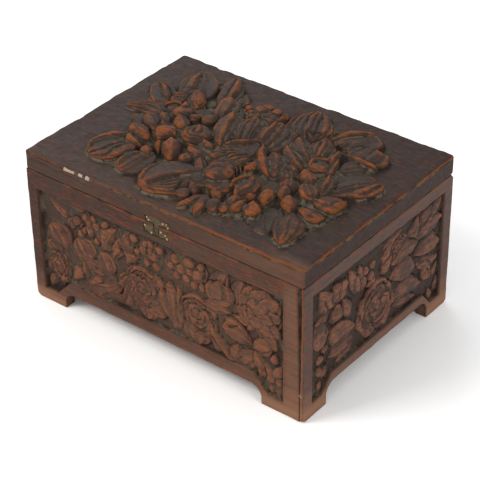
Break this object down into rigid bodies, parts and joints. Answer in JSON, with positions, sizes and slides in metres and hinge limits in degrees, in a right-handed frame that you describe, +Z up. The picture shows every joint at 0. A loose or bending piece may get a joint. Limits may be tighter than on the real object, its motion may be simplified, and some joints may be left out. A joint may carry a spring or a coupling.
{
  "type": "jewelry box",
  "caption": "Rectangular carved wooden jewelry box on bracket feet, with a hinged lid carrying a bouquet in high relief, a small brass clasp and a felt-lined compartment.",
  "frame": {"origin": "centre of the box's outline on the surface under the feet", "axes": "+X along the long side to the right as seen from the front, -Y out of the front with the clasp, +Z up through the lid"},
  "size_m": [0.23, 0.165, 0.127],
  "materials": {
    "carved_wood": "dark red-brown stain, waxed and worn",
    "plain_wood": "plain sawn and lightly stained",
    "hinge_brass": "aged brass",
    "clasp_brass": "dull brass with a green patina",
    "felt": "short red pile"
  },
  "bodies": {
    "body": {"front_board": "carved_wood", "back_board": "carved_wood", "left_board": "carved_wood", "right_board": "carved_wood", "bottom_board": "plain_wood", "left_hinge_body_leaf": "hinge_brass", "right_hinge_body_leaf": "hinge_brass", "left_hinge_pin": "hinge_brass", "right_hinge_pin": "hinge_brass", "hinge_body_screws": "hinge_brass", "clasp_body_plate": "clasp_brass", "clasp_body_nails": "clasp_brass", "floor_lining": "felt", "front_lining": "felt", "back_lining": "felt", "left_lining": "felt", "right_lining": "felt"},
    "lid": {"lid_board": "carved_wood", "left_hinge_lid_leaf": "hinge_brass", "right_hinge_lid_leaf": "hinge_brass", "hinge_lid_screws": "hinge_brass", "clasp_lid_plate": "clasp_brass", "clasp_lid_nails": "clasp_brass", "lid_lining": "felt"}
  },
  "joints": [
    {"name": "lid_hinge", "type": "hinge", "parent": "body", "child": "lid", "pos_m": [0, 0.08, 0.1038], "axis": [-1, 0, 0], "range_deg": [0, 105]}
  ]
}
